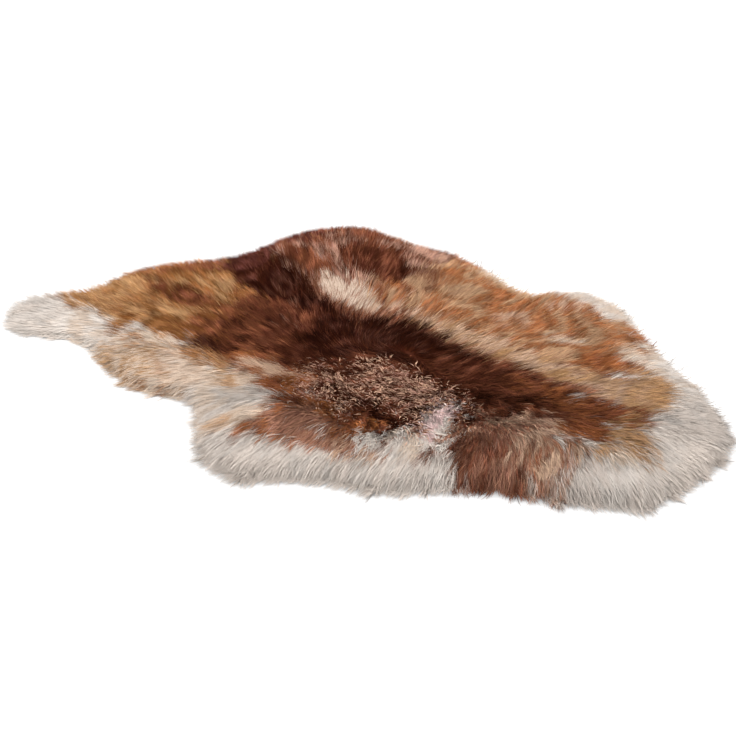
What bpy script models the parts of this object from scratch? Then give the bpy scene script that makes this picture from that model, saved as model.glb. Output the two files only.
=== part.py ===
# A long-woolled lambskin that lies wool side up on a floor.
# Its backbone runs along X, with the neck at -X and the rump at +X. The far flank is at +Y.
# The skin is one solid: a lumpy slab of wool on its flat leather side, with loose locks all round its rim.
import math
import random

import bmesh
import bpy
import numpy as np
from mathutils import Vector, noise
from mathutils.geometry import delaunay_2d_cdt

# Driving dimensions, in metres
LOCK_SPACING = 0.0155
MESH_SPACING = 0.0150
WALL_CLEARANCE = 0.0095

# The wool stands to this share of its depth at the wall of the slab, and to all of it past the shoulder
WALL_SHARE = 0.70
SHOULDER_WIDTH = 0.045
RELIEF_SHARE_AT_WALL = 0.35

# Clumps of wool, drawn out along the lie of the hair, on slow rolls of the skin
CLUMP_LENGTH = 0.080
CLUMP_WIDTH = 0.042
CLUMP_RISE = 0.0100
ROLL_LENGTH = 0.190
ROLL_RISE = 0.0050

# How a lock tapers and sinks between its root on the wall and its tip on the floor
LOCK_SECTIONS = (
    # share of its length, share of its width, share of its height
    (0.38, 0.92, 0.90),
    (0.74, 0.68, 0.60),
    (1.00, 0.18, 0.14),
)
LOCK_LENGTH_SPREAD = 0.20
LOCK_SWAY = 0.0035
SEED = 7

# The line that the tips of the locks draw on the floor, counter-clockwise from the end of the rump.
# Places are measured from a point on the backbone, and the finished skin is centred on its own box.
OUTLINE = (
    # along, across, length of the locks, depth of the wool
    (0.539, 0.030, 0.040, 0.048),
    (0.526, 0.096, 0.040, 0.048),
    (0.474, 0.170, 0.040, 0.047),
    (0.412, 0.218, 0.040, 0.047),
    (0.354, 0.266, 0.038, 0.047),
    (0.308, 0.312, 0.036, 0.048),
    (0.266, 0.348, 0.036, 0.049),
    (0.202, 0.364, 0.034, 0.050),
    (0.152, 0.340, 0.030, 0.049),
    (0.118, 0.312, 0.024, 0.047),
    (0.090, 0.326, 0.030, 0.047),
    (0.050, 0.358, 0.036, 0.048),
    (-0.002, 0.376, 0.038, 0.049),
    (-0.060, 0.374, 0.036, 0.049),
    (-0.108, 0.373, 0.034, 0.049),
    (-0.160, 0.390, 0.036, 0.050),
    (-0.222, 0.388, 0.036, 0.050),
    (-0.274, 0.356, 0.034, 0.048),
    (-0.309, 0.310, 0.032, 0.046),
    (-0.336, 0.262, 0.030, 0.044),
    (-0.357, 0.206, 0.028, 0.042),
    (-0.400, 0.162, 0.028, 0.042),
    (-0.446, 0.122, 0.028, 0.042),
    (-0.488, 0.074, 0.026, 0.040),
    (-0.506, 0.014, 0.022, 0.037),
    (-0.534, -0.024, 0.018, 0.032),
    (-0.570, -0.040, 0.014, 0.026),
    (-0.596, -0.072, 0.013, 0.022),
    (-0.587, -0.118, 0.013, 0.020),
    (-0.567, -0.148, 0.013, 0.020),
    (-0.536, -0.160, 0.014, 0.021),
    (-0.496, -0.148, 0.016, 0.024),
    (-0.448, -0.138, 0.020, 0.030),
    (-0.404, -0.150, 0.026, 0.036),
    (-0.352, -0.180, 0.030, 0.040),
    (-0.292, -0.203, 0.032, 0.042),
    (-0.236, -0.196, 0.028, 0.042),
    (-0.196, -0.190, 0.022, 0.044),
    (-0.166, -0.224, 0.030, 0.048),
    (-0.134, -0.272, 0.038, 0.052),
    (-0.086, -0.309, 0.040, 0.053),
    (-0.036, -0.316, 0.040, 0.053),
    (0.016, -0.294, 0.040, 0.052),
    (0.072, -0.268, 0.040, 0.051),
    (0.132, -0.256, 0.040, 0.051),
    (0.186, -0.234, 0.036, 0.050),
    (0.232, -0.198, 0.034, 0.049),
    (0.288, -0.178, 0.038, 0.050),
    (0.352, -0.163, 0.040, 0.051),
    (0.418, -0.142, 0.042, 0.052),
    (0.478, -0.114, 0.042, 0.052),
    (0.514, -0.044, 0.042, 0.050),
)

# Where the skin buckles and its wool stands higher, or where the wool parts
FOLDS = (
    # along, across, half length, half width, turn in degrees, rise
    (-0.185, 0.235, 0.115, 0.070, 25.0, 0.034),
    (-0.030, 0.240, 0.110, 0.080, -10.0, 0.014),
    (-0.115, 0.130, 0.070, 0.026, -35.0, -0.014),
    (0.110, 0.130, 0.190, 0.045, -8.0, 0.010),
    (-0.020, 0.060, 0.150, 0.018, -4.0, -0.008),
    (0.235, 0.235, 0.080, 0.055, 10.0, 0.010),
    (0.132, 0.245, 0.055, 0.022, 80.0, -0.012),
    (-0.030, -0.180, 0.130, 0.085, 15.0, 0.014),
    (0.200, -0.150, 0.085, 0.020, -62.0, -0.016),
    (0.275, -0.095, 0.095, 0.065, 15.0, 0.012),
    (0.420, -0.020, 0.070, 0.095, 0.0, 0.008),
    (-0.165, -0.115, 0.095, 0.022, -58.0, -0.012),
    (-0.290, -0.110, 0.095, 0.060, 20.0, 0.008),
    (-0.380, 0.040, 0.110, 0.045, -45.0, 0.007),
)

WOOL_COLOUR = (0.235, 0.118, 0.062, 1.0)
WOOL_ROUGHNESS = 0.92


def clear_scene():
    for obj in list(bpy.data.objects):
        bpy.data.objects.remove(obj, do_unlink=True)


def smoothstep(value):
    value = min(max(value, 0.0), 1.0)
    return value * value * (3 - 2 * value)


def spline_row(before, start, end, after, share):
    """A row on the smooth curve through four rows of a table, between the two in the middle."""
    return (
        2 * start
        + (end - before) * share
        + (2 * before - 5 * start + 4 * end - after) * share**2
        + (3 * start - before - 3 * end + after) * share**3
    ) / 2


def rim_stations():
    """Evenly spaced rows round the smooth outline, with the same columns as its table."""
    table = np.array(OUTLINE)
    steps = 16
    fine = [
        spline_row(table[i - 1], table[i], table[(i + 1) % len(table)], table[(i + 2) % len(table)], k / steps)
        for i in range(len(table))
        for k in range(steps)
    ]
    fine = np.array(fine + fine[:1])
    along = np.concatenate([[0.0], np.cumsum(np.linalg.norm(np.diff(fine[:, :2], axis=0), axis=1))])
    wanted = np.linspace(0.0, along[-1], round(along[-1] / LOCK_SPACING), endpoint=False)
    return np.stack([np.interp(wanted, along, column) for column in fine.T], axis=1)


def slab_wall(stations, reach=3):
    """The wall of the slab: the stations moved inwards by the length of their locks."""
    tangents = np.roll(stations[:, :2], -reach, axis=0) - np.roll(stations[:, :2], reach, axis=0)
    tangents /= np.linalg.norm(tangents, axis=1)[:, None]
    outward = np.stack([tangents[:, 1], -tangents[:, 0]], axis=1)
    return stations[:, :2] - outward * stations[:, 2:3]


def distance_to_wall(point, wall):
    sides = np.roll(wall, -1, axis=0) - wall
    shares = ((point - wall) * sides).sum(axis=1) / (sides**2).sum(axis=1)
    nearest = wall + sides * np.clip(shares, 0, 1)[:, None]
    return np.linalg.norm(point - nearest, axis=1).min()


def is_inside(point, wall):
    """True where a line from the point towards +X crosses the wall an odd number of times."""
    following = np.roll(wall, -1, axis=0)
    straddles = (wall[:, 1] > point[1]) != (following[:, 1] > point[1])
    a, b = wall[straddles], following[straddles]
    crossings = a[:, 0] + (b[:, 0] - a[:, 0]) * (point[1] - a[:, 1]) / (b[:, 1] - a[:, 1])
    return (crossings > point[0]).sum() % 2 == 1


def inner_points(wall):
    """A triangular grid of points that fills the slab and keeps clear of its wall."""
    low, high = wall.min(axis=0), wall.max(axis=0)
    row_height = MESH_SPACING * math.sqrt(0.75)
    points = []
    for row, y in enumerate(np.arange(low[1], high[1], row_height)):
        for x in np.arange(low[0] + MESH_SPACING / 2 * (row % 2), high[0], MESH_SPACING):
            point = np.array([x, y])
            if is_inside(point, wall) and distance_to_wall(point, wall) > WALL_CLEARANCE:
                points.append(point)
    return np.array(points)


def wool_depth(point, wall, stations):
    """Depth of the wool at a point: the depths at the rim, weighed by how near each station is."""
    softness = 0.02
    weights = 1 / (((point - wall) ** 2).sum(axis=1) + softness**2) ** 2
    return (weights * stations[:, 3]).sum() / weights.sum()


def fold_rise(x, y):
    rise = 0.0
    for along, across, half_length, half_width, turn, height in FOLDS:
        cos, sin = math.cos(math.radians(turn)), math.sin(math.radians(turn))
        dx, dy = x - along, y - across
        a, b = (dx * cos + dy * sin) / half_length, (dy * cos - dx * sin) / half_width
        rise += height * math.exp(-(a * a + b * b))
    return rise


def clump_rise(x, y):
    clumps = noise.noise(Vector((x / CLUMP_LENGTH, y / CLUMP_WIDTH, 0.0)))
    rolls = noise.noise(Vector((x / ROLL_LENGTH, y / ROLL_LENGTH, 4.0)))
    return CLUMP_RISE * clumps + ROLL_RISE * rolls


def wool_height(point, wall, stations):
    shoulder = smoothstep(distance_to_wall(point, wall) / SHOULDER_WIDTH)
    crown = wool_depth(point, wall, stations) * (WALL_SHARE + (1 - WALL_SHARE) * shoulder)
    relief = fold_rise(*point) + clump_rise(*point)
    return crown + relief * (RELIEF_SHARE_AT_WALL + (1 - RELIEF_SHARE_AT_WALL) * shoulder)


def add_wool_surface(mesh, wall, stations):
    """The top of the slab: an open surface of triangles inside the wall, at the wool's height."""
    points = [Vector(point) for point in (*wall, *inner_points(wall))]
    places, _, faces, _, _, _ = delaunay_2d_cdt(points, [], [list(range(len(wall)))], 1, 1e-6)
    corners = [
        mesh.verts.new((place.x, place.y, wool_height(np.array(place), wall, stations))) for place in places
    ]
    for face in faces:
        mesh.faces.new([corners[i] for i in face])


def add_wall_and_leather(mesh):
    """Carries the rim of the top down to the floor and closes the flat leather side."""
    rim = [edge for edge in mesh.edges if edge.is_boundary]
    made = bmesh.ops.extrude_edge_only(mesh, edges=rim)["geom"]
    walls = [item for item in made if isinstance(item, bmesh.types.BMFace)]
    for item in made:
        if isinstance(item, bmesh.types.BMVert):
            item.co.z = 0.0
    bmesh.ops.holes_fill(mesh, edges=[edge for edge in mesh.edges if edge.is_boundary], sides=0)
    bmesh.ops.recalc_face_normals(mesh, faces=mesh.faces)
    return walls


def grow_lock(mesh, face, tip, chance):
    """Draws one face of the wall out into a lock that lies level on the floor and tapers to its tip."""
    middle = face.calc_center_median()
    root = Vector((middle.x, middle.y, 0.0))
    way = (tip - root) * (1 - LOCK_LENGTH_SPREAD * chance.random())
    side = Vector((-way.y, way.x, 0.0)).normalized()
    sway = side * LOCK_SWAY * chance.uniform(-1, 1)
    corners = [vertex.co.copy() for vertex in face.verts]
    for reach, width, height in LOCK_SECTIONS:
        face = bmesh.ops.extrude_discrete_faces(mesh, faces=[face])["faces"][0]
        for vertex, corner in zip(face.verts, corners):
            across = side * (corner - root).dot(side) * width
            vertex.co = root + way * reach + across + sway * reach**2
            vertex.co.z = corner.z * height


def add_locks(mesh, walls, wall, stations):
    """Grows a lock from each face of the wall to the outline in front of it."""
    chance = random.Random(SEED)
    roots = (wall + np.roll(wall, -1, axis=0)) / 2
    tips = (stations[:, :2] + np.roll(stations[:, :2], -1, axis=0)) / 2
    faces = {}
    for face in walls:
        middle = np.array(face.calc_center_median().xy)
        faces[int(np.linalg.norm(roots - middle, axis=1).argmin())] = face
    for place in sorted(faces):
        grow_lock(mesh, faces[place], Vector((*tips[place], 0.0)), chance)


def centre_on_box(mesh):
    xs = [vertex.co.x for vertex in mesh.verts]
    ys = [vertex.co.y for vertex in mesh.verts]
    middle = Vector(((min(xs) + max(xs)) / 2, (min(ys) + max(ys)) / 2, 0.0))
    bmesh.ops.translate(mesh, verts=mesh.verts, vec=-middle)


def wool_material():
    material = bpy.data.materials.new("wool")
    material.use_nodes = True
    shader = material.node_tree.nodes["Principled BSDF"]
    shader.inputs["Base Color"].default_value = WOOL_COLOUR
    shader.inputs["Roughness"].default_value = WOOL_ROUGHNESS
    shader.inputs["Metallic"].default_value = 0.0
    return material


def build_lambskin():
    stations = rim_stations()
    wall = slab_wall(stations)
    mesh = bmesh.new()
    add_wool_surface(mesh, wall, stations)
    add_locks(mesh, add_wall_and_leather(mesh), wall, stations)
    centre_on_box(mesh)

    data = bpy.data.meshes.new("lambskin")
    mesh.to_mesh(data)
    mesh.free()
    data.shade_smooth()
    data.materials.append(wool_material())
    collection = bpy.data.collections.new("lambskin")
    bpy.context.scene.collection.children.link(collection)
    collection.objects.link(bpy.data.objects.new("lambskin", data))


clear_scene()
build_lambskin()
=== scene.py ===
# A long-woolled lambskin on a pale floor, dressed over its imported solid.
# The backbone runs along X, neck at -X and rump at +X. Places on the skin are
# written as along and across, from a point on the backbone.
import math

import bmesh
import bpy
import numpy as np
from mathutils import Matrix, Vector, kdtree, noise


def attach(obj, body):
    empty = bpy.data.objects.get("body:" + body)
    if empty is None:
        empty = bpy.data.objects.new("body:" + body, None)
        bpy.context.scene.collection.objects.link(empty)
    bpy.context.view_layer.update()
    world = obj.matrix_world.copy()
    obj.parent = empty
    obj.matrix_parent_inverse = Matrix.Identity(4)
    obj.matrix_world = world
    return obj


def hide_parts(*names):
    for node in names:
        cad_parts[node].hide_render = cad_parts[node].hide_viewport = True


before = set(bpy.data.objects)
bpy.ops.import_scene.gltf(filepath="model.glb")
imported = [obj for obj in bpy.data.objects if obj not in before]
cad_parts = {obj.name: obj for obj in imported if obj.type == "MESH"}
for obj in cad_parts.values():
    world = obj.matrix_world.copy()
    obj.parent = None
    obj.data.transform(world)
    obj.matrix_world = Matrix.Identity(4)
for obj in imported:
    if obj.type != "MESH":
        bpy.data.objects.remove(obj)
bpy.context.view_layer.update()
backbonePoint = np.array([0.0288, -0.0372])  # where the backbone's zero lies in the frame


# How much of the light that falls on a strand leaves the fleece again, after its neighbours' shade.
openness = 0.93


# A colour of wool by how it looks in the fleece, in screen values.
def seenAs(*colour):
    return [min(0.93, ((v / 255 + 0.055) / 1.055) ** 2.4 / openness) for v in colour]


woolColours = {
    "espresso": seenAs(40, 13, 5),
    "umber": seenAs(64, 28, 15),
    "mulberry": seenAs(82, 42, 36),
    "cocoa": seenAs(94, 50, 33),
    "chestnut": seenAs(116, 66, 44),
    "bronze": seenAs(130, 80, 42),
    "rust": seenAs(154, 92, 54),
    "tawny": seenAs(156, 105, 64),
    "ginger": seenAs(172, 116, 78),
    "fawn": seenAs(150, 106, 86),
    "rose": seenAs(190, 146, 126),
    "curl": seenAs(210, 166, 140),
    "gold": seenAs(184, 140, 98),
    "sand": seenAs(192, 152, 118),
    "beige": seenAs(208, 172, 146),
    "cream": seenAs(222, 200, 180),
    "blush": seenAs(228, 194, 190),
    "milk": seenAs(222, 209, 198),
    "white": seenAs(232, 221, 211),
    # white wool greyed with painted shade, for the near rim, neck tip and rump; the next is a deeper
    # painted shade for the rump's near side
    "paintedShadeWhite": seenAs(214, 204, 195),
    "paintedDeepShadeWhite": seenAs(202, 189, 179),
}

studio = {
    "elevation": 33.0,
    "azimuth": 28.0,
    "distance": 2.1,
    "lens": 69.5,
    "targetHeight": 0.02,
    "skyStrength": 1.28,
    "floorColour": (0.88, 0.88, 0.88, 1.0),
    "floorSize": 14.0,
    "floorDrop": 0.0004,  # just under the leather, so that the two faces don't fight
    "lights": {
        # name: place, width, power
        "topLight": ((-0.5, 0.9, 2.6), 1.8, 28.0),
        "leftLight": ((-2.4, -0.9, 1.6), 1.2, 12.0),
    },
}


def objectFrom(mesh, name):
    data = bpy.data.meshes.new(name)
    mesh.to_mesh(data)
    mesh.free()
    obj = bpy.data.objects.new(name, data)
    bpy.context.scene.collection.objects.link(obj)
    return obj


def lookAt(obj, target):
    obj.rotation_euler = (Vector(target) - obj.location).to_track_quat("-Z", "Y").to_euler()


def addCamera():
    elevation, azimuth = math.radians(studio["elevation"]), math.radians(studio["azimuth"])
    level = math.cos(elevation)
    back = Vector((math.sin(azimuth) * level, -math.cos(azimuth) * level, math.sin(elevation)))
    target = Vector((*backbonePoint, studio["targetHeight"]))
    data = bpy.data.cameras.new("camera")
    data.sensor_width = 36.0
    data.lens = studio["lens"]
    camera = bpy.data.objects.new("camera", data)
    bpy.context.scene.collection.objects.link(camera)
    camera.location = target + back * studio["distance"]
    lookAt(camera, target)
    bpy.context.scene.camera = camera


def addLights():
    for name, (place, width, power) in studio["lights"].items():
        data = bpy.data.lights.new(name, "AREA")
        data.shape = "DISK"
        data.size = width
        data.energy = power
        light = bpy.data.objects.new(name, data)
        bpy.context.scene.collection.objects.link(light)
        light.location = place
        lookAt(light, (0.0, 0.0, 0.0))
    world = bpy.data.worlds.new("studio")
    world.use_nodes = True
    sky = world.node_tree.nodes["Background"]
    sky.inputs["Color"].default_value = (1.0, 1.0, 1.0, 1.0)
    sky.inputs["Strength"].default_value = studio["skyStrength"]
    bpy.context.scene.world = world
    bpy.context.scene.view_settings.view_transform = "Standard"


def addFloor():
    mesh = bmesh.new()
    bmesh.ops.create_grid(mesh, x_segments=1, y_segments=1, size=studio["floorSize"] / 2)
    bmesh.ops.translate(mesh, verts=mesh.verts, vec=(0, 0, -studio["floorDrop"]))
    floor = objectFrom(mesh, "floor")
    material = bpy.data.materials.new("paleFloor")
    material.use_nodes = True
    shader = material.node_tree.nodes["Principled BSDF"]
    shader.inputs["Base Color"].default_value = studio["floorColour"]
    shader.inputs["Roughness"].default_value = 0.85
    floor.data.materials.append(material)


# Where each colour lies on the skin, painted in this order.
patches = [
    # name, along, across, half length, half width, turn, softness, tip, root, share of root
    ("ground", 0.000, 0.000, 9.000, 9.000, 0, 0.2, "milk", "white", 0.50),
    ("body", 0.000, 0.060, 0.420, 0.245, 0, 0.6, "chestnut", "fawn", 0.35),
    ("neckGround", -0.370, 0.040, 0.210, 0.150, 30, 0.6, "bronze", "tawny", 0.40),
    # the far flank
    ("farFlank", 0.140, 0.210, 0.300, 0.130, -6, 0.6, "rust", "sand", 0.38),
    ("farEdge", 0.020, 0.355, 0.130, 0.040, -12, 0.6, "ginger", "cream", 0.60),
    ("farEdgeBrown", 0.010, 0.375, 0.045, 0.022, -25, 0.6, "cocoa", "sand", 0.40),
    ("farHindLobe", 0.230, 0.325, 0.080, 0.055, -10, 0.6, "cream", "milk", 0.50),
    ("flankRust", 0.045, 0.220, 0.075, 0.070, -10, 1.0, "rust", "sand", 0.34),
    ("flankRustTop", 0.130, 0.275, 0.040, 0.030, 0, 1.0, "rust", "sand", 0.30),
    ("flankPale", 0.145, 0.170, 0.030, 0.022, 50, 1.3, "beige", "rust", 0.35),
    ("flankPaleTop", 0.205, 0.242, 0.040, 0.016, 20, 1.3, "beige", "rust", 0.35),
    ("flankPaleFore", -0.005, 0.130, 0.026, 0.014, 5, 1.2, "cream", "rust", 0.35),
    ("flankPaleHind", 0.235, 0.165, 0.026, 0.012, 20, 1.2, "beige", "cream", 0.40),
    ("flankForeRust", -0.020, 0.200, 0.030, 0.050, 10, 0.9, "chestnut", "sand", 0.34),
    ("flankGinger", 0.245, 0.200, 0.060, 0.022, 6, 1.1, "rust", "sand", 0.25),
    ("flankStreak", 0.060, 0.145, 0.080, 0.014, 8, 0.8, "rust", "sand", 0.30),
    ("longStreak", 0.200, 0.112, 0.150, 0.014, 4, 1.0, "rust", "sand", 0.30),
    ("longStreakDark", 0.310, 0.138, 0.055, 0.016, 18, 1.0, "rust", "chestnut", 0.40),
    ("flankHind", 0.350, 0.185, 0.035, 0.035, 40, 0.8, "ginger", "cream", 0.50),
    ("farHindEdge", 0.410, 0.190, 0.090, 0.050, -50, 0.6, "cream", "white", 0.50),
    ("creamStrip", 0.205, 0.082, 0.170, 0.020, -7, 1.0, "beige", "gold", 0.34),
    ("creamStripEnd", 0.350, 0.068, 0.045, 0.022, 0, 0.8, "beige", "sand", 0.45),
    ("hindGold", 0.392, 0.085, 0.036, 0.055, -4, 1.0, "gold", "sand", 0.45),
    # the shoulder's far side
    ("farShoulder", -0.170, 0.270, 0.165, 0.120, 10, 0.6, "cocoa", "rose", 0.28),
    ("farShoulderEdge", -0.270, 0.375, 0.120, 0.060, 20, 0.8, "cocoa", "rose", 0.28),
    ("farShoulderTip", -0.145, 0.375, 0.050, 0.022, -8, 0.6, "beige", "white", 0.70),
    ("shoulderPale", -0.235, 0.285, 0.055, 0.012, 105, 1.2, "ginger", "chestnut", 0.45),
    ("shoulderPaleHind", -0.155, 0.305, 0.050, 0.010, 110, 1.2, "ginger", "chestnut", 0.40),
    ("shoulderBrown", -0.105, 0.220, 0.062, 0.042, -5, 0.9, "cocoa", "umber", 0.25),
    ("shoulderBrownTop", -0.150, 0.300, 0.030, 0.055, 15, 1.0, "cocoa", "chestnut", 0.40),
    ("shoulderGinger", -0.215, 0.185, 0.055, 0.022, -10, 1.0, "chestnut", "cocoa", 0.40),
    ("mulberrySlope", -0.325, 0.215, 0.130, 0.078, 55, 0.8, "mulberry", "cocoa", 0.35),
    ("slopeStreak", -0.280, 0.235, 0.050, 0.007, 118, 1.0, "chestnut", "fawn", 0.40),
    # the neck
    ("neck", -0.375, 0.005, 0.200, 0.088, 8, 0.7, "bronze", "gold", 0.42),
    ("neckFarSlope", -0.405, 0.100, 0.085, 0.045, 42, 0.8, "chestnut", "tawny", 0.42),
    ("neckFarEdge", -0.500, 0.065, 0.105, 0.030, 52, 0.8, "chestnut", "tawny", 0.40),
    ("neckFarBrown", -0.430, 0.135, 0.050, 0.022, 50, 1.0, "cocoa", "chestnut", 0.40),
    ("neckFarPale", -0.405, 0.160, 0.020, 0.008, 45, 1.2, "ginger", "sand", 0.40),
    ("neckStreak", -0.325, 0.022, 0.140, 0.022, -3, 0.9, "cocoa", "bronze", 0.34),
    ("neckTopGold", -0.275, 0.082, 0.050, 0.018, -10, 1.2, "bronze", "gold", 0.35),
    ("neckRidge", -0.220, 0.052, 0.055, 0.030, -10, 1.2, "chestnut", "cocoa", 0.35),
    ("neckLightStreak", -0.335, -0.062, 0.110, 0.022, 2, 1.2, "gold", "bronze", 0.45),
    ("neckFore", -0.455, -0.008, 0.080, 0.045, 20, 0.9, "tawny", "gold", 0.45),
    ("neckBronze", -0.285, -0.090, 0.066, 0.038, 12, 1.0, "bronze", "tawny", 0.25),
    ("neckRoot", -0.235, -0.020, 0.045, 0.055, 0, 1.6, "chestnut", "bronze", 0.45),
    ("neckUnder", -0.300, -0.118, 0.090, 0.028, -2, 1.2, "tawny", "cream", 0.50),
    ("neckBelly", -0.460, -0.102, 0.088, 0.036, -8, 1.0, "cream", "white", 0.40),
    # painted shade: the neck's white tip greyed where less light falls on it
    ("neckTip", -0.560, -0.108, 0.086, 0.070, -8, 0.8, "paintedShadeWhite", "milk", 0.30),
    # the two near lobes
    ("neckLobe", -0.300, -0.165, 0.095, 0.040, 0, 0.9, "cream", "gold", 0.34),
    ("neckLobeGinger", -0.365, -0.148, 0.030, 0.018, -30, 1.0, "gold", "cream", 0.45),
    ("neckLobeGold", -0.265, -0.185, 0.040, 0.018, 20, 0.8, "tawny", "cream", 0.45),
    ("lobeGap", -0.215, -0.140, 0.050, 0.028, 0, 0.9, "cream", "beige", 0.35),
    ("nearLobe", -0.130, -0.190, 0.080, 0.070, -40, 0.6, "cream", "milk", 0.60),
    ("nearLobeSand", -0.150, -0.135, 0.055, 0.024, -10, 1.2, "cream", "sand", 0.42),
    # painted shade: the near rim's white wool greyed, as the side turned away from the light
    ("nearRim", 0.040, -0.270, 0.230, 0.062, 14, 0.5, "paintedShadeWhite", "milk", 0.55),
    # the dark middle
    ("saddle", -0.105, 0.035, 0.120, 0.070, -6, 0.8, "cocoa", "umber", 0.50),
    ("saddleRoot", -0.165, 0.050, 0.060, 0.032, -20, 1.0, "chestnut", "cocoa", 0.45),
    ("nearShoulder", -0.140, -0.015, 0.090, 0.046, -4, 0.8, "umber", "chestnut", 0.42),
    ("nearShoulderFoot", -0.150, -0.080, 0.060, 0.026, 6, 1.2, "chestnut", "rust", 0.34),
    ("darkKnot", -0.215, -0.082, 0.042, 0.022, 32, 0.9, "espresso", "chestnut", 0.30),
    ("knotTrail", -0.170, -0.045, 0.045, 0.024, 28, 1.1, "umber", "chestnut", 0.30),
    ("gapTawny", -0.200, -0.110, 0.045, 0.014, 0, 1.3, "tawny", "sand", 0.40),
    ("shoulderSand", -0.145, 0.022, 0.030, 0.012, -15, 1.1, "rose", "chestnut", 0.45),
    ("darkGround", 0.100, 0.000, 0.260, 0.075, -4, 0.6, "umber", "cocoa", 0.40),
    ("middle", 0.010, -0.070, 0.120, 0.085, -20, 0.7, "umber", "cocoa", 0.40),
    ("curls", 0.075, -0.075, 0.098, 0.085, 0, 0.8, "umber", "cocoa", 0.45),
    ("curlsPale", 0.105, -0.035, 0.060, 0.034, 0, 1.2, "umber", "cocoa", 0.40),
    ("curlsDark", 0.092, -0.148, 0.052, 0.036, 0, 1.2, "umber", "espresso", 0.40),
    ("curlsFoot", 0.035, -0.170, 0.085, 0.027, 6, 1.2, "cocoa", "rust", 0.35),
    ("footSand", 0.060, -0.206, 0.075, 0.010, 8, 1.4, "beige", "fawn", 0.40),
    ("nearGinger", -0.016, -0.212, 0.070, 0.024, 22, 1.5, "rust", "fawn", 0.40),
    ("nearGingerTips", -0.088, -0.226, 0.040, 0.016, 25, 1.6, "sand", "cream", 0.50),
    ("middleFoot", -0.058, -0.130, 0.040, 0.042, 30, 1.3, "chestnut", "rust", 0.35),
    ("nearShoulderSand", -0.115, -0.102, 0.050, 0.016, -10, 1.3, "rust", "beige", 0.50),
    ("hip", 0.255, -0.055, 0.080, 0.085, 6, 0.7, "umber", "cocoa", 0.42),
    ("hipAboveStripe", 0.300, -0.020, 0.065, 0.036, 0, 0.9, "umber", "chestnut", 0.35),
    ("hipGround", 0.292, -0.116, 0.086, 0.066, 8, 1.5, "fawn", "beige", 0.45),
    ("hipFoot", 0.260, -0.142, 0.063, 0.060, 12, 1.3, "cocoa", "fawn", 0.30),
    ("hipHind", 0.325, -0.098, 0.050, 0.030, 12, 1.8, "chestnut", "beige", 0.50),
    ("partingPale", 0.146, -0.162, 0.026, 0.018, 0, 1.1, "cream", "milk", 0.40),
    ("parting", 0.163, -0.098, 0.018, 0.054, 6, 0.7, "blush", "milk", 0.40),
    # the stripe: dark fur along the backbone; its espresso core, where the far wool overhangs it, is
    # also painted shade
    ("shoulderBand", -0.225, 0.118, 0.072, 0.036, -4, 0.8, "espresso", "umber", 0.25),
    ("bandToSlope", -0.285, 0.140, 0.050, 0.042, 20, 1.0, "mulberry", "umber", 0.50),
    ("stripeStart", -0.115, 0.080, 0.075, 0.028, -22, 0.9, "umber", "espresso", 0.50),
    ("stripeUnder", -0.055, 0.005, 0.060, 0.034, 0, 0.9, "umber", "espresso", 0.50),
    ("stripe", 0.030, 0.050, 0.135, 0.046, -5, 0.8, "espresso", "umber", 0.18),
    ("stripeHind", 0.200, 0.018, 0.120, 0.034, -5, 1.1, "umber", "cocoa", 0.45),
    ("stripeRust", 0.270, 0.022, 0.060, 0.024, -4, 1.2, "cocoa", "rust", 0.26),
    ("stripeEnd", 0.345, 0.010, 0.072, 0.030, 0, 0.9, "cocoa", "rust", 0.34),
    ("stripeTail", 0.395, 0.006, 0.026, 0.024, 30, 1.2, "chestnut", "gold", 0.35),
    ("hindRust", 0.355, -0.038, 0.036, 0.024, 10, 1.2, "chestnut", "rust", 0.35),
    # the white spot
    ("whiteSpot", -0.117, 0.142, 0.050, 0.023, -16, 0.7, "cream", "fawn", 0.20),
    ("whiteSpotHind", -0.070, 0.120, 0.024, 0.012, -20, 1.0, "cream", "beige", 0.50),
    ("spotTrail", -0.015, 0.116, 0.028, 0.010, -10, 0.9, "beige", "chestnut", 0.35),
    # the rump, whose grey whites are painted shade on white wool
    ("rumpNear", 0.460, -0.105, 0.100, 0.065, 15, 1.0, "paintedDeepShadeWhite", "paintedShadeWhite", 0.35),
    ("rumpGold", 0.425, -0.030, 0.050, 0.022, -12, 1.3, "gold", "sand", 0.35),
    ("rumpGoldLow", 0.400, -0.062, 0.030, 0.010, 10, 1.3, "gold", "cream", 0.50),
    ("rump", 0.510, 0.050, 0.080, 0.170, 0, 0.6, "paintedShadeWhite", "milk", 0.45),
]


def smoothstep(value):
    value = np.clip(value, 0.0, 1.0)
    return value * value * (3 - 2 * value)


# Tip and root colours at each place. Wobble moves the patches' edges, pick says which
# of two neighbouring patches a strand at an edge takes after, and streaks where the
# root's colour shows up to the tip. The last two are even between 0 and 1.
def paint(places, wobble, pick, streaks):
    tips, roots = np.zeros((len(places), 3)), np.zeros((len(places), 3))
    show = np.zeros(len(places))
    for _, along, across, halfLength, halfWidth, turn, softness, tip, root, rootShare in patches:
        cos, sin = math.cos(math.radians(turn)), math.sin(math.radians(turn))
        offset = places - (along, across)
        a = (offset[:, 0] * cos + offset[:, 1] * sin) / halfLength
        b = (offset[:, 1] * cos - offset[:, 0] * sin) / halfWidth
        share = smoothstep((1 + softness / 2 - np.sqrt(a * a + b * b) - wobble) / softness)
        share = smoothstep((share * 1.5 - pick) / 0.5)
        tips += (np.array(woolColours[tip]) - tips) * share[:, None]
        roots += (np.array(woolColours[root]) - roots) * share[:, None]
        show += (rootShare - show) * share
    mixed = smoothstep((show * 1.3 - streaks) / 0.3)[:, None]
    return tips + (roots - tips) * mixed, roots


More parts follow.
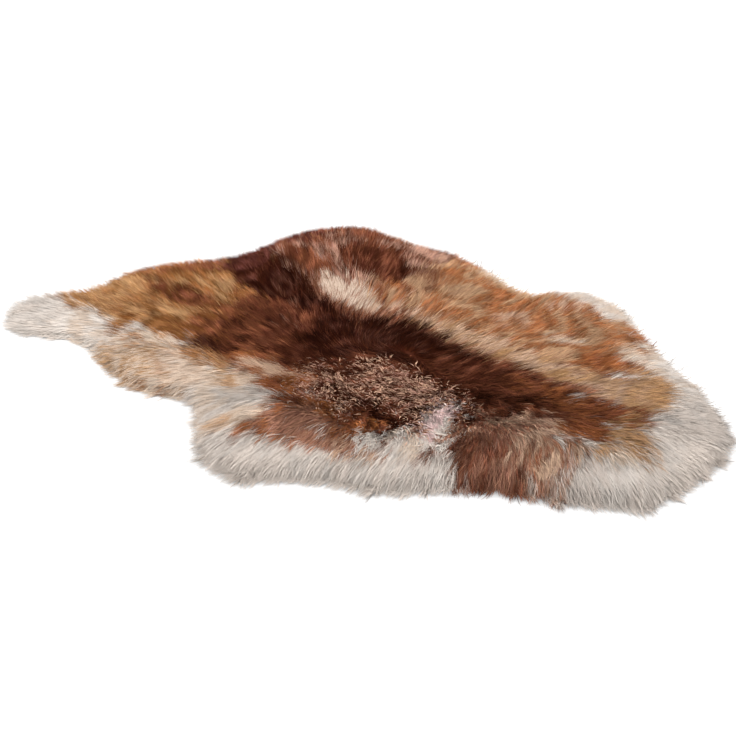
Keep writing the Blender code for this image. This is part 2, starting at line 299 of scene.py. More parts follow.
# Which way the wool lies on the floor plan, in degrees from the rump's direction.
lie = [
    # along, across, heading
    (-0.55, -0.12, 190),
    (-0.46, 0.02, 165),
    (-0.40, -0.08, 190),
    (-0.32, 0.06, 160),
    (-0.28, -0.08, 185),
    (-0.34, -0.17, 230),
    (-0.22, -0.16, 215),
    (-0.30, 0.20, 140),
    (-0.22, 0.10, 150),
    (-0.20, 0.30, 112),
    (-0.16, 0.15, 128),
    (-0.10, 0.22, 92),
    (-0.07, 0.13, 60),
    (-0.10, 0.05, 140),
    (-0.17, 0.00, 172),
    (0.00, 0.30, 78),
    (0.00, 0.08, 60),
    (0.10, 0.20, 55),
    (0.12, 0.06, 40),
    (0.22, 0.14, 42),
    (0.24, 0.30, 60),
    (0.34, 0.18, 40),
    (0.30, 0.04, 22),
    (0.44, 0.06, 12),
    (0.50, -0.02, -5),
    (0.42, -0.10, -40),
    (0.30, -0.12, -62),
    (0.25, -0.05, -35),
    (0.22, -0.15, -78),
    (0.14, -0.18, 262),
    (0.06, -0.24, 262),
    (0.08, -0.10, 245),
    (0.06, -0.02, 235),
    (-0.04, -0.08, 222),
    (-0.05, -0.18, 238),
    (-0.05, -0.27, 250),
    (-0.13, -0.22, 225),
    (-0.13, -0.09, 195),
]


def lieAt(places):
    total = np.zeros((len(places), 2))
    for along, across, heading in lie:
        distance = ((places - (along, across)) ** 2).sum(axis=1) + 0.03**2
        towards = np.array([math.cos(math.radians(heading)), math.sin(math.radians(heading))])
        total += towards / distance[:, None] ** 1.5
    return total / np.linalg.norm(total, axis=1)[:, None]


# Noise drawn out along the lie of the wool, one value for each place.
def streakNoise(places, length, width, layer):
    found = []
    for (x, y), (cos, sin) in zip(places, lieAt(places)):
        drawnOut = Vector(((x * cos + y * sin) / length, (y * cos - x * sin) / width, layer))
        found.append(noise.noise(drawnOut))
    return np.array(found)


streaking = {
    # one or two layers of drawn-out noise each: weight, length, width, layer
    "wobble": ((0.28, 0.05, 0.016, 3.1), (0.18, 0.03, 0.006, 8.3)),
    "pick": ((1, 0.050, 0.010, 40.2), (0.8, 0.030, 0.004, 12.9)),
    "streaks": ((1, 0.042, 0.014, 21.7), (0.8, 0.032, 0.005, 33.3)),
    "fleck": ((1, 0.024, 0.0038, 61.4), (0.5, 0.045, 0.009, 77.2)),
    "curlTurn": ((1, 0.014, 0.014, 5.5),),
}


def streaky(places, kind):
    return sum(weight * streakNoise(places, *layer) for weight, *layer in streaking[kind])


underwoolShape = {
    "voxel": 0.0085,
    "smoothing": 16,
    "depthOfStrands": 0.0085,
    "lengthAtRim": 0.0155,
    "fullerFarSide": 0.46,
    "leatherTop": 0.0022,
    "thinnest": 0.0025,
}


# The object's mesh with its modifiers applied, on a new object in its place.
def finished(obj, name):
    evaluated = obj.evaluated_get(bpy.context.evaluated_depsgraph_get())
    data = bpy.data.meshes.new_from_object(evaluated)
    bpy.data.objects.remove(obj, do_unlink=True)
    whole = bpy.data.objects.new(name, data)
    bpy.context.scene.collection.objects.link(whole)
    return whole


def readPoints(data):
    found = np.empty(len(data.vertices) * 3, np.float32)
    data.vertices.foreach_get("co", found)
    return found.reshape(-1, 3).astype(float)


def readNormals(data):
    found = np.empty(len(data.vertices) * 3, np.float32)
    data.vertex_normals.foreach_get("vector", found)
    return found.reshape(-1, 3).astype(float)


# The dense wool near the skin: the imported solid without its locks, evened out and
# sunk by the strands' depth.
def makeUnderwool():
    mesh = bmesh.new()
    mesh.from_mesh(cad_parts["lambskin"].data)
    bmesh.ops.remove_doubles(mesh, verts=mesh.verts, dist=0.00005)
    rough = objectFrom(mesh, "roughCopy")
    evenOut = rough.modifiers.new("evenOut", "REMESH")
    evenOut.mode = "VOXEL"
    evenOut.voxel_size = underwoolShape["voxel"]
    soften = rough.modifiers.new("soften", "SMOOTH")
    soften.factor = 0.5
    soften.iterations = underwoolShape["smoothing"]
    body = finished(rough, "underwool")

    points, normals = readPoints(body.data), readNormals(body.data)
    sink, leatherTop = underwoolShape["depthOfStrands"], underwoolShape["leatherTop"]
    reach = underwoolShape["lengthAtRim"] * (1 - underwoolShape["fullerFarSide"] * normals[:, 1])
    points[:, :2] -= normals[:, :2] * reach[:, None]
    points[:, 2] -= np.clip(normals[:, 2], 0, 1) * sink
    lowest = np.where(normals[:, 2] > -0.2, leatherTop + underwoolShape["thinnest"], leatherTop)
    points[:, 2] = np.where(normals[:, 2] < -0.6, leatherTop, np.maximum(points[:, 2], lowest))
    body.data.vertices.foreach_set("co", points.astype(np.float32).ravel())
    body.data.update()
    body.data.shade_smooth()
    return body


hideShape = {
    "thickness": 0.0021,
    "edgeSmoothing": 10,
    "thinnedWidth": 0.006,
    "thinnedBy": 0.0009,
    "flat": (0.64, 1.06),  # as declared; the mesh's own box is 0.66 by 1.09
}


# The tanned skin itself: the underside of the underwool laid flat, its cut edge evened
# out. It is a single layer of many faces. The thickness and the thinned edge reach only
# the largest of them, a small patch under the neck's tip.
def makeHide(body):
    mesh = bmesh.new()
    mesh.from_mesh(body.data)
    mesh.normal_update()
    bmesh.ops.delete(mesh, geom=[face for face in mesh.faces if face.normal.z > -0.6], context="FACES")
    bmesh.ops.dissolve_faces(mesh, faces=mesh.faces[:], use_verts=False)
    for _ in range(hideShape["edgeSmoothing"]):
        bmesh.ops.smooth_vert(mesh, verts=mesh.verts, factor=0.5, use_axis_x=True, use_axis_y=True)
    for vert in mesh.verts:
        vert.co.z = 0.0
    area = sum(face.calc_area() for face in mesh.faces)
    lower = max(mesh.faces, key=lambda face: face.calc_area())
    if lower.normal.z > 0:
        lower.normal_flip()
    raised = bmesh.ops.extrude_face_region(mesh, geom=[lower])["geom"]
    upper = next(item for item in raised if isinstance(item, bmesh.types.BMFace))
    atEdge = hideShape["thickness"] - hideShape["thinnedBy"]
    bmesh.ops.translate(mesh, verts=upper.verts, vec=(0, 0, atEdge))
    bmesh.ops.recalc_face_normals(mesh, faces=mesh.faces)
    width, rise = hideShape["thinnedWidth"], hideShape["thinnedBy"]
    bmesh.ops.inset_region(mesh, faces=[upper], thickness=width, depth=rise)
    hide = objectFrom(mesh, "hide")
    return hide, area


wool = {
    "clumpSpacing": 0.0105,
    "gravity": 0.55,
    "gather": 0.15,
    "floorGap": 0.0007,
    "clumpDraw": 0.005,  # how far colours are drawn out along the lie, tuft by tuft
    "strandDraw": 0.007,
    "seenAlong": 0.60,  # the share of its length at which a strand meets its patch
    "fleck": 0.78,  # how much darker or lighter single streaks are where the wool is dark
    "paintedSheen": 0.07,  # how far the lighter ones turn to rose, a painted sheen
    "lightest": 0.88,
    "darkTips": 0.07,  # the share of strands with a darker tip
    "spread": (7, 14),  # degrees by which strands differ in direction, and how many more in curls
    "curlTurn": 150,
    "rimOutward": 1.2,
    "seed": 11,
}

coats = {
    # where, count, segments, length, root radius, lift at the root, lift at the tip
    "underCoat": ("all", 84000, 1, 0.022, 0.00082, 20, 20),
    "topCoat": ("all", 62000, 1, 0.029, 0.00062, 19, 19),
    "longCoat": ("all", 14000, 2, 0.035, 0.00052, 28, 4),
    "rimCoat": ("rim", 8000, 2, 0.037, 0.00056, 26, 4),
    "curlCoat": ("curls", 8500, 3, 0.019, 0.00132, 72, -14),
}
curlPlace = {"middle": (0.062, -0.088), "size": (0.150, 0.098), "reach": 1.25, "softness": 0.55}
curlTips = {
    # where curls have pale tips: along, across, half length, half width, share of them
    "all": (0.070, -0.085, 0.150, 0.115, 0.56),
    "pale": (0.115, -0.042, 0.085, 0.038, 0.88),
    "shade": (-0.035, -0.045, 0.042, 0.026, 0.12),
    "fore": (0.000, -0.115, 0.045, 0.045, 0.56),
    "foot": (0.010, -0.170, 0.075, 0.018, 0.48),
    "dark": (0.092, -0.143, 0.044, 0.032, 0.08),
    "parting": (0.163, -0.098, 0.018, 0.050, 0.0),
}

zones = {
    # middle of each piece of the wool, along and across
    "neckWool": (-0.39, -0.03),
    "farShoulderWool": (-0.17, 0.22),
    "nearShoulderWool": (-0.12, -0.12),
    "farFlankWool": (0.09, 0.22),
    "nearFlankWool": (0.11, -0.14),
    "farRumpWool": (0.32, 0.16),
    "nearRumpWool": (0.30, -0.07),
}


# Where the wool is longer or shorter than elsewhere, or stands up more at the sides.
fuller = {
    # along, across, radius, share of length, degrees of lift
    "neckTip": (-0.58, -0.04, 0.10, 1.36, 30),
    "neckFarEdge": (-0.44, 0.12, 0.11, 1.16, 26),
    "farShoulder": (-0.24, 0.34, 0.20, 0.98, 34),
    "farHindLobe": (0.22, 0.36, 0.08, 1.10, 26),
    "nearLobe": (-0.14, -0.29, 0.09, 1.40, 0),
    "nearRump": (0.47, -0.16, 0.07, 1.20, 0),
    "rump": (0.55, -0.02, 0.12, 0.88, 0),
}


def fullerAt(places):
    longer, lift = np.ones(len(places)), np.zeros(len(places))
    for along, across, radius, share, degrees in fuller.values():
        near = smoothstep(1.5 - np.hypot(*(places - (along, across)).T) / radius)
        longer += (share - 1) * near
        lift += degrees * near
    return longer, lift


def unit(vectors):
    return vectors / np.maximum(np.linalg.norm(vectors, axis=1), 1e-9)[:, None]


# How curly the wool is at each place, from 0 to 1.
def curliness(places):
    away = (places - curlPlace["middle"]) / curlPlace["size"]
    return smoothstep((curlPlace["reach"] - np.hypot(away[:, 0], away[:, 1])) / curlPlace["softness"])


# The pale tips of the curls, over the dark wool they stand on.
def curlColours(places, tips, pick, streaks):
    share = np.zeros(len(places))
    for along, across, halfLength, halfWidth, here in curlTips.values():
        away = (places - (along, across)) / (halfLength, halfWidth)
        inside = smoothstep((1.3 - np.hypot(away[:, 0], away[:, 1])) / 0.6)
        share += (here - share) * inside
    share *= curliness(places) ** 2.2
    paleTip = np.where((streaks > 0.4)[:, None], woolColours["curl"], woolColours["rose"])
    return np.where((pick < share)[:, None], paleTip, tips)


# Evenly random points on a mesh, with their normals. where is all, rim (the sides,
# where the wool hangs over) or curls.
def scatter(data, count, where, chance):
    data.calc_loop_triangles()
    corners = np.empty(len(data.loop_triangles) * 3, np.int32)
    data.loop_triangles.foreach_get("vertices", corners)
    corners = corners.reshape(-1, 3)
    points, normals = readPoints(data), readNormals(data)
    first, second, third = (points[corners[:, k]] for k in range(3))
    across = np.cross(second - first, third - first)
    size = np.linalg.norm(across, axis=1)
    upward = across[:, 2] / np.maximum(size, 1e-12)
    weight = size * (upward > -0.1)
    if where == "rim":
        weight = size * ((upward > -0.3) & (upward < 0.72))
    if where == "curls":
        weight = weight * curliness((first + second + third)[:, :2] / 3 - backbonePoint)
    steps = (np.arange(count) + chance.random(count)) / count
    chosen = np.searchsorted(np.cumsum(weight) / weight.sum(), steps).clip(0, len(corners) - 1)
    a, b = np.sqrt(chance.random(count)), chance.random(count)
    shares = np.stack([1 - a, a * (1 - b), a * b], axis=1)[:, :, None]
    places = (points[corners[chosen]] * shares).sum(axis=1)
    return places, unit((normals[corners[chosen]] * shares).sum(axis=1))


def nearest(points, centres):
    tree = kdtree.KDTree(len(centres))
    for i, place in enumerate(centres):
        tree.insert(place, i)
    tree.balance()
    return np.array([tree.find(place)[1] for place in points])


# Values spread evenly between 0 and 1 in the order they had.
def evened(values):
    return values.argsort().argsort() / len(values)


# Tufts that strands share: their middles, and what each tuft does differently.
def makeClumps(data, chance):
    area = sum(face.area for face in data.polygons if face.normal.z > -0.1)
    count = int(area / wool["clumpSpacing"] ** 2)
    middles, _ = scatter(data, count, "all", chance)
    even = np.full(count, 0.5)
    tips, _ = paint(middles[:, :2] - backbonePoint, even * 0, even, even)
    pale = smoothstep((tips[:, 2] - 0.25) / 0.25)
    return {
        "middle": middles,
        "pale": pale,
        "turn": chance.normal(0, math.radians(10), count) * (1 - 0.7 * pale),
        "length": chance.uniform(0.88, 1.12, count),
        "drawn": np.abs(chance.normal(0, wool["clumpDraw"], count)),
        "tone": chance.normal(0, 0.08, count) * (1 - 0.8 * pale),
    }


# One coat: roots on the underwool, a bent line from each, and what colours it has.
def growCoat(body, clumps, where, count, segments, length, radius, rootLift, tipLift, chance):
    roots, normals = scatter(body.data, count, where, chance)
    plan = roots[:, :2] - backbonePoint
    clump = nearest(roots, clumps["middle"])
    pale = clumps["pale"][clump]
    calmer = 1 - 0.4 * pale
    curly = curliness(plan)

    wish = np.column_stack([lieAt(plan), np.full(count, -wool["gravity"])])
    if where == "rim":
        outward = unit(normals[:, :2])
        wish[:, :2] += outward * wool["rimOutward"]
    along = unit(wish - normals * (wish * normals).sum(axis=1)[:, None])
    curled = 1.0 if where == "curls" else 0.0
    loose = curly * (1 - curled)
    far = np.clip(normals[:, 1], 0, 1)
    angle = clumps["turn"][clump] * (1 + loose)
    spread, spreadInCurls = wool["spread"]
    angle += np.radians(spread + spreadInCurls * curly) * chance.standard_normal(count) * calmer
    angle += curled * math.radians(wool["curlTurn"]) * streaky(plan, "curlTurn")
    along = along * np.cos(angle)[:, None] + np.cross(normals, along) * np.sin(angle)[:, None]
    side = np.cross(normals, along)

    longer, raised = fullerAt(plan)
    raised = 12 * far + raised * np.clip(1 - normals[:, 2], 0, 0.5) * 2
    reach = length * longer * (1 - 0.12 * loose) * (1 + 0.2 * normals[:, 1])
    atBorder = curled * (1 - curly)  # curls at the border of their place are shorter and lie lower
    reach *= clumps["length"][clump] * chance.uniform(0.8, 1.15, count) * (1 - 0.4 * atBorder)
    flatter = 1 - 0.5 * pale
    rootLift = rootLift * (1 - 0.5 * atBorder) + 10 * loose
    rootLift = np.radians((rootLift + chance.normal(0, 6, count)) * flatter + raised)
    tipLift = np.radians((tipLift + 16 * loose + chance.normal(0, 7, count)) * flatter + raised)
    bend = chance.normal(0, 0.18, count) * (1 + 2 * loose)
    bend += curled * chance.choice([-1, 1], count) * chance.uniform(0.5, 1.7, count)

    line = [roots - normals * 0.001]
    for k in range(segments):
        share = (k + 0.5) / segments
        lift = rootLift + (tipLift - rootLift) * share
        step = along * np.cos(lift)[:, None] + normals * np.sin(lift)[:, None]
        step += side * (bend * share)[:, None]
        line.append(line[-1] + unit(step) * (reach / segments)[:, None])
    line = np.stack(line, axis=1)
    fromMiddle = (roots - clumps["middle"][clump]) * (1 - 0.6 * pale)[:, None]
    for k in range(segments + 1):
        line[:, k] -= fromMiddle * (wool["gather"] * (k / segments) ** 1.3)
    lowest = wool["floorGap"] + chance.uniform(0, 0.0012, count)
    line[:, :, 2] = np.maximum(line[:, :, 2], lowest[:, None])

    shown = line[:, 0, :2] + (line[:, -1, :2] - line[:, 0, :2]) * wool["seenAlong"] - backbonePoint
    drawn = clumps["drawn"][clump] + np.abs(chance.normal(0, wool["strandDraw"], count))
    seen = shown - along[:, :2] * drawn[:, None]
    seen += side[:, :2] * chance.normal(0, 0.003, count)[:, None]
    pick = (evened(streaky(shown, "pick")) + chance.normal(0, 0.08, count)).clip(0, 1)
    streaks = (evened(streaky(shown, "streaks")) + chance.normal(0, 0.10, count)).clip(0, 1)
    tips, rootColours = paint(seen, streaky(shown, "wobble"), pick, streaks)
    if where == "curls":
        tips = curlColours(seen, tips, chance.random(count), streaks)
    light = tips.max(axis=1)
    depth = wool["fleck"] * (1 - smoothstep(light / 0.75)) + 0.06
    fleck = 2 * evened(streaky(shown, "fleck")) - 1 + chance.normal(0, 0.25, count)
    tone = (1 + clumps["tone"][clump]) * np.exp(depth * fleck)
    dark = (chance.random(count) < wool["darkTips"]) & (pale < 0.3)
    tone = np.where(dark, tone * chance.uniform(0.45, 0.7, count), tone)
    # painted sheen: the lighter streaks of dark wool turned towards rose, as a pinkish gloss
    paintedSheenShare = (wool["paintedSheen"] * (tone - 1)).clip(0, 0.35) * (1 - pale)
    tips = tips * np.minimum(tone, wool["lightest"] / light)[:, None]
    tips += (np.array(woolColours["rose"]) - tips) * paintedSheenShare[:, None]
    return {
        "line": line,
        "side": side,
        "facing": unit(normals + (0, 0, strandShape["faceUp"])),
        "roundness": strandShape["roundness"] * (1 - 0.7 * pale),
        "radius": radius * chance.uniform(0.75, 1.2, count),
        "tips": tips,
        "roots": rootColours,
        "chance": 0.5 + (chance.random(count) - 0.5) * (1 - 0.9 * pale),
        "zone": nearest(np.column_stack([plan, np.zeros(count)]), [(*z, 0.0) for z in zones.values()]),
    }


strandShape = {
    # width at each ring below the tip, by the number of segments
    "fullness": {1: (1.0,), 2: (1.0, 0.80), 3: (1.0, 0.95, 0.66)},
    "turn": 180.0,
    "flatness": 0.6,
    "roundness": 0.4,  # how far the shading turns round a strand, and not with the fleece
    "faceUp": 1.0,
}


# One strand as a pattern, upright, a unit wide and a unit long, closed at its root and
# pointed at its tip.
def strandPattern(segments):
    mesh = bmesh.new()
    raised = Matrix.Translation((0, 0, 0.5))
    bmesh.ops.create_cone(mesh, cap_ends=True, segments=3, radius1=1, radius2=0, depth=1, matrix=raised)
    for k in range(1, segments):
        everything = mesh.verts[:] + mesh.edges[:] + mesh.faces[:]
        bmesh.ops.bisect_plane(mesh, geom=everything, plane_co=(0, 0, k / segments), plane_no=(0, 0, 1))
    fullness = strandShape["fullness"][segments]
    turn = Matrix.Rotation(math.radians(strandShape["turn"]), 3, "Z")
    mesh.verts.ensure_lookup_table()
    mesh.verts.index_update()
    corners, rings = [], []
    for vert in mesh.verts:
        ring = round(vert.co.z * segments)
        flat = Vector((vert.co.x, vert.co.y, 0))
        corner = turn @ flat.normalized() * fullness[ring] if ring < segments else flat * 0
        corner.y *= strandShape["flatness"]
        corners.append(corner)
        rings.append(ring)

    faces, cells = [], []
    for face in mesh.faces:
        middle = face.calc_center_median()
        facing = math.atan2(middle.y, middle.x)
        for vert in face.verts:
            faces.append(vert.index)
            if face.normal.z < -0.9:  # the root's own face has a thin strip of the cell
                cells.append((0.5 + vert.co.x * 0.4, 0.035 + vert.co.y * 0.03))
                continue
            off = 0.0
            if vert.co.z < 0.999:
                off = (math.atan2(vert.co.y, vert.co.x) - facing + math.pi) % (2 * math.pi) - math.pi
            column = round((facing / (2 * math.pi / 3)) % 3 - 0.5) % 3
            cells.append(((column + 0.5 + off / (2 * math.pi / 3)) / 3, 0.12 + 0.88 * vert.co.z))
    sizes = [len(face.verts) for face in mesh.faces]
    mesh.free()
    return np.array([tuple(c) for c in corners]), np.array(rings), faces, sizes, np.array(cells)


# Every chosen strand as a copy of the pattern, bent along its own line.
def strandCopies(coat, chosen):
    line, side, radius = coat["line"][chosen], coat["side"][chosen], coat["radius"][chosen]
    segments = line.shape[1] - 1
    corners, rings, faces, sizes, cells = strandPattern(segments)
    roundness = coat["roundness"][chosen][:, None]
    places = np.empty((len(line), len(corners), 3))
    shading = np.empty((len(line), len(corners), 3))
    for j, (corner, ring) in enumerate(zip(corners, rings)):
        tangent = unit(line[:, min(ring + 1, segments)] - line[:, max(ring - 1, 0)])
        wide = unit(side - tangent * (side * tangent).sum(axis=1)[:, None])
        deep = np.cross(tangent, wide)
        places[:, j] = line[:, ring] + (wide * corner[0] + deep * corner[1]) * radius[:, None]
        shading[:, j] = unit(coat["facing"][chosen] + wide * corner[0] * roundness)
    places[:, :, 2] = np.maximum(places[:, :, 2], 0.0002)
    along = np.tile(rings / segments, (len(line), 1))
    return places, shading, along, faces, sizes, cells


# One piece of the wool: every strand whose root lies in its zone, with a cell of the
# piece's own UV map and the colours of its tip and root.
def joinStrands(name, grown, zone):
    points, normals, alongs, corners, sizes, maps = [], [], [], [], [], []
    tips, roots, chances = [], [], []
    picked = [(coat, np.nonzero(coat["zone"] == zone)[0]) for coat in grown]
    total = sum(len(chosen) for _, chosen in picked)
    columns = math.ceil(math.sqrt(total * 1.5))
    rows = math.ceil(total / columns)
    first, strand = 0, 0
    for coat, chosen in picked:
        places, shading, along, faces, faceSizes, cells = strandCopies(coat, chosen)
        count, each = places.shape[:2]
        points.append(places.reshape(-1, 3))
        normals.append(shading.reshape(-1, 3))
        alongs.append(along.ravel())
        corners.append((np.arange(count)[:, None] * each + np.array(faces) + first).ravel())
        sizes.append(np.tile(faceSizes, count))
        number = np.arange(strand, strand + count)
        u = (number % columns)[:, None] + 0.06 + 0.88 * cells[:, 0]
        v = (number // columns)[:, None] + 0.06 + 0.88 * cells[:, 1]
        maps.append(np.stack([u / columns, v / rows], axis=2).reshape(-1, 2))
        for values, key in ((tips, "tips"), (roots, "roots"), (chances, "chance")):
            values.append(np.repeat(coat[key][chosen], each, axis=0))
        first += count * each
        strand += count

    points, corners, sizes = np.concatenate(points), np.concatenate(corners), np.concatenate(sizes)
    data = bpy.data.meshes.new(name)
    data.vertices.add(len(points))
    data.vertices.foreach_set("co", points.astype(np.float32).ravel())
    data.loops.add(len(corners))
    data.loops.foreach_set("vertex_index", corners.astype(np.int32))
    data.polygons.add(len(sizes))
    starts = np.concatenate([[0], np.cumsum(sizes)[:-1]])
    data.polygons.foreach_set("loop_start", starts.astype(np.int32))
    data.update(calc_edges=True)
    data.shade_smooth()
    data.normals_split_custom_set_from_vertices(np.concatenate(normals))
    cellMap = data.uv_layers.new(name="OFBake")
    cellMap.data.foreach_set("uv", np.concatenate(maps).astype(np.float32).ravel())
    writeNumbers(data, "along", np.concatenate(alongs))
    writeNumbers(data, "chance", np.concatenate(chances))
    writeColours(data, "tipColour", np.concatenate(tips))
    writeColours(data, "rootColour", np.concatenate(roots))
    obj = bpy.data.objects.new(name, data)
    bpy.context.scene.collection.objects.link(obj)
    return obj, int((sizes - 2).sum())


def writeNumbers(data, name, values):
    data.attributes.new(name, "FLOAT", "POINT").data.foreach_set("value", values.astype(np.float32))


def writeColours(data, name, values):
    full = np.column_stack([values, np.ones(len(values))]).astype(np.float32)
    data.attributes.new(name, "FLOAT_COLOR", "POINT").data.foreach_set("color", full.ravel())


# A node group with its own inputs and outputs, by name.
def newGroup(name, inputs, outputs):
    group = bpy.data.node_groups.new(name, "ShaderNodeTree")
    for direction, sockets in (("INPUT", inputs), ("OUTPUT", outputs)):
        for socketName, kind, *default in sockets:
            socket = group.interface.new_socket(name=socketName, in_out=direction, socket_type=kind)
            if default:
                socket.default_value = default[0]
    return group, group.nodes.new("NodeGroupInput").outputs, group.nodes.new("NodeGroupOutput").inputs


def addNode(tree, kind, settings=None, **values):
    node = tree.nodes.new(kind)
    for key, value in (settings or {}).items():
        setattr(node, key, value)
    for key, value in values.items():
        socket = node.inputs[int(key[1:])]
        if isinstance(value, bpy.types.NodeSocket):
            tree.links.new(value, socket)
        else:
            socket.default_value = value
    return node


# A number moved from one range to another.
def ranged(tree, value, low, high, lowTo, highTo, smooth=False):
    kind = {"interpolation_type": "SMOOTHSTEP" if smooth else "LINEAR"}
    node = addNode(tree, "ShaderNodeMapRange", kind, i0=value, i1=low, i2=high, i3=lowTo, i4=highTo)
    return node.outputs[0]


def mixColours(tree, factor, first, second, blend="MIX"):
    node = addNode(tree, "ShaderNodeMix", {"data_type": "RGBA", "blend_type": blend})
    for key, value in ((0, factor), (6, first), (7, second)):
        if isinstance(value, bpy.types.NodeSocket):
            tree.links.new(value, node.inputs[key])
        else:
            node.inputs[key].default_value = value
    return node.outputs[2]


# The colour change, painted shade deeper in the fleece, grease and fine crimp that all the wool has.
def makeWoolGroup():
    group, given, wanted = newGroup(
        "woolFibre",
        [
            ("Colour", "NodeSocketColor", (0.5, 0.4, 0.3, 1.0)),
            ("Chance", "NodeSocketFloat", 0.5),
            ("Depth", "NodeSocketFloat", 1.0),
            ("Fibre Size", "NodeSocketFloat", 500.0),
            ("Crimp", "NodeSocketFloat", 0.0002),
        ],
        [
            ("Colour", "NodeSocketColor"),
            ("Roughness", "NodeSocketFloat"),
            ("Normal", "NodeSocketVector"),
        ],
    )
    place = addNode(group, "ShaderNodeTexCoord").outputs["Object"]
    fine = addNode(group, "ShaderNodeTexNoise", i0=place)
    fine.inputs["Detail"].default_value = 2.0
    group.links.new(given["Fibre Size"], fine.inputs["Scale"])
    broad = addNode(group, "ShaderNodeTexNoise", i0=place)
    broad.inputs["Scale"].default_value = 45.0
    lightness = ranged(group, given["Chance"], 0, 1, 0.74, 1.20)
    mottle = ranged(group, broad.outputs[0], 0.3, 0.7, 0.93, 1.05)
    grain = ranged(group, fine.outputs[0], 0.3, 0.7, 0.90, 1.06)
    level = lightness
    # the last factor is painted shade: darker deeper in the fleece, where the strands shade it
    for part in (mottle, grain, given["Depth"]):
        product = addNode(group, "ShaderNodeMath", {"operation": "MULTIPLY"}, i0=level, i1=part)
        level = product.outputs[0]
    toned = addNode(group, "ShaderNodeHueSaturation", i2=level, i4=given["Colour"])
    group.links.new(ranged(group, given["Chance"], 0, 1, 0.492, 0.508), toned.inputs[0])
    group.links.new(toned.outputs[0], wanted["Colour"])
    group.links.new(ranged(group, fine.outputs[0], 0.3, 0.7, 0.52, 0.78), wanted["Roughness"])
    bump = addNode(group, "ShaderNodeBump")
    bump.inputs["Strength"].default_value = 0.6
    group.links.new(given["Crimp"], bump.inputs["Distance"])
    group.links.new(fine.outputs[0], bump.inputs["Height"])
    group.links.new(bump.outputs[0], wanted["Normal"])
    return group


def attribute(tree, name):
    return addNode(tree, "ShaderNodeAttribute", {"attribute_name": name})


def newMaterial(name):
    material = bpy.data.materials.new(name)
    material.use_nodes = True
    return material, material.node_tree, material.node_tree.nodes["Principled BSDF"]


def placeGroup(tree, group, shader, links, numbers):
    node = tree.nodes.new("ShaderNodeGroup")
    node.node_tree = group
    for name, socket in links.items():
        tree.links.new(socket, node.inputs[name])
    for name, value in numbers.items():
        node.inputs[name].default_value = value
    tree.links.new(node.outputs["Colour"], shader.inputs["Base Color"])
    tree.links.new(node.outputs["Roughness"], shader.inputs["Roughness"])
    tree.links.new(node.outputs["Normal"], shader.inputs["Normal"])


def makeStrandMaterial(group):
    material, tree, shader = newMaterial("longWool")
    along = attribute(tree, "along").outputs["Fac"]
    tipShare = ranged(tree, along, 0.15, 0.75, 0, 1, smooth=True)
    atRoot = attribute(tree, "rootColour").outputs["Color"]
    atTip = attribute(tree, "tipColour").outputs["Color"]
    colour = mixColours(tree, tipShare, atRoot, atTip)
    # painted shade: each strand darker towards its root, where the fleece above shades it
    depth = ranged(tree, along, 0.0, 0.5, 0.90, 1.0)
    links = {"Colour": colour, "Chance": attribute(tree, "chance").outputs["Fac"], "Depth": depth}
    placeGroup(tree, group, shader, links, {"Fibre Size": 700.0, "Crimp": 0.00015})
    shader.inputs["Specular IOR Level"].default_value = 0.008
    return material


def makeUnderwoolMaterial(group):
    material, tree, shader = newMaterial("denseWool")
    links = {"Colour": attribute(tree, "rootColour").outputs["Color"]}
    # painted shade: the underwool a little darker than its colour, in the strands' shade
    placeGroup(tree, group, shader, links, {"Fibre Size": 260.0, "Crimp": 0.0012, "Depth": 0.97})
    shader.inputs["Specular IOR Level"].default_value = 0.03
    return material


hideColours = {"pale": (0.66, 0.52, 0.37, 1.0), "deep": (0.50, 0.37, 0.25, 1.0)}


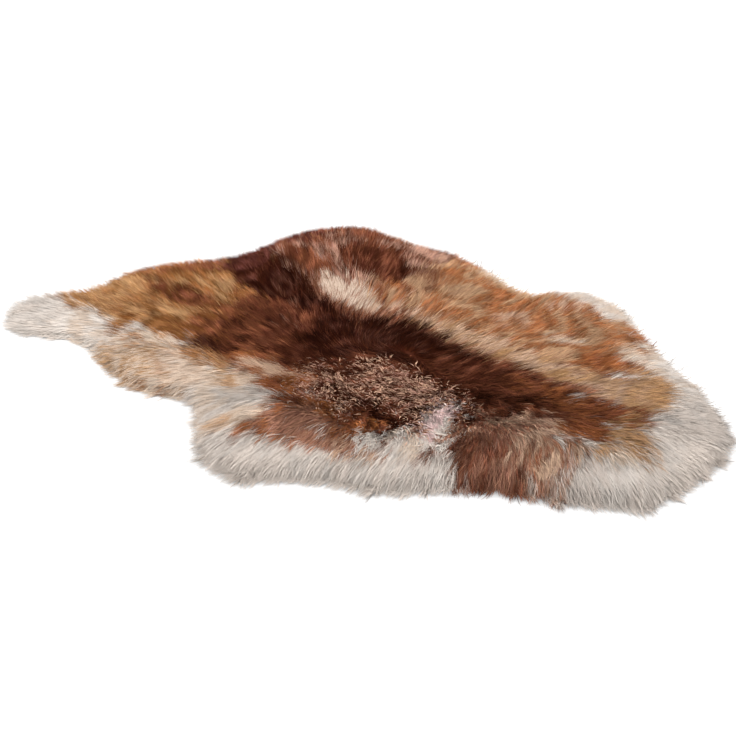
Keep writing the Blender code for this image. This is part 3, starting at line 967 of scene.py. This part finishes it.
def makeHideMaterial():
    material, tree, shader = newMaterial("tannedSkin")
    place = addNode(tree, "ShaderNodeTexCoord").outputs["Object"]
    cloud = addNode(tree, "ShaderNodeTexNoise", i0=place)
    cloud.inputs["Scale"].default_value = 9.0
    cloud.inputs["Detail"].default_value = 6.0
    nap = addNode(tree, "ShaderNodeTexNoise", i0=place)
    nap.inputs["Scale"].default_value = 900.0
    nap.inputs["Detail"].default_value = 3.0
    share = ranged(tree, cloud.outputs[0], 0.35, 0.65, 0, 1, smooth=True)
    colour = mixColours(tree, share, hideColours["pale"], hideColours["deep"])
    lightness = ranged(tree, nap.outputs[0], 0.3, 0.7, 0.86, 1.1)
    shade = addNode(tree, "ShaderNodeHueSaturation", i2=lightness, i4=colour)
    tree.links.new(shade.outputs[0], shader.inputs["Base Color"])
    tree.links.new(ranged(tree, nap.outputs[0], 0.3, 0.7, 0.78, 0.95), shader.inputs["Roughness"])
    bump = addNode(tree, "ShaderNodeBump")
    bump.inputs["Distance"].default_value = 0.0003
    tree.links.new(nap.outputs[0], bump.inputs["Height"])
    tree.links.new(bump.outputs[0], shader.inputs["Normal"])
    shader.inputs["Sheen Weight"].default_value = 0.2
    return material


addCamera()
addLights()
addFloor()
print("camera, lights and floor are in")

underwool = makeUnderwool()
hide, hideArea = makeHide(underwool)
print("underwool", len(underwool.data.polygons), "faces, hide", round(hideArea, 4), "square metres")

chance = np.random.default_rng(wool["seed"])
clumps = makeClumps(underwool.data, chance)
print("tufts", len(clumps["middle"]))
grown = [growCoat(underwool, clumps, *settings, chance) for settings in coats.values()]
print("strands combed", sum(len(coat["line"]) for coat in grown))

woolGroup = makeWoolGroup()
strandMaterial = makeStrandMaterial(woolGroup)
woolPieces, allTriangles = [], 0
for zone, name in enumerate(zones):
    piece, triangles = joinStrands(name, grown, zone)
    piece.data.materials.append(strandMaterial)
    woolPieces.append(piece)
    allTriangles += triangles
    print(name, triangles, "triangles")
print("wool", allTriangles, "triangles")

bodyPlaces = readPoints(underwool.data)[:, :2] - backbonePoint
even = np.full(len(bodyPlaces), 0.5)
_, bodyColours = paint(bodyPlaces, even * 0, even, even)
writeColours(underwool.data, "rootColour", bodyColours)
underwool.data.materials.clear()
underwool.data.materials.append(makeUnderwoolMaterial(woolGroup))
hide.data.materials.clear()
hide.data.materials.append(makeHideMaterial())

for piece in [underwool, *woolPieces]:
    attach(piece, "root")
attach(hide, "root")
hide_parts("lambskin")
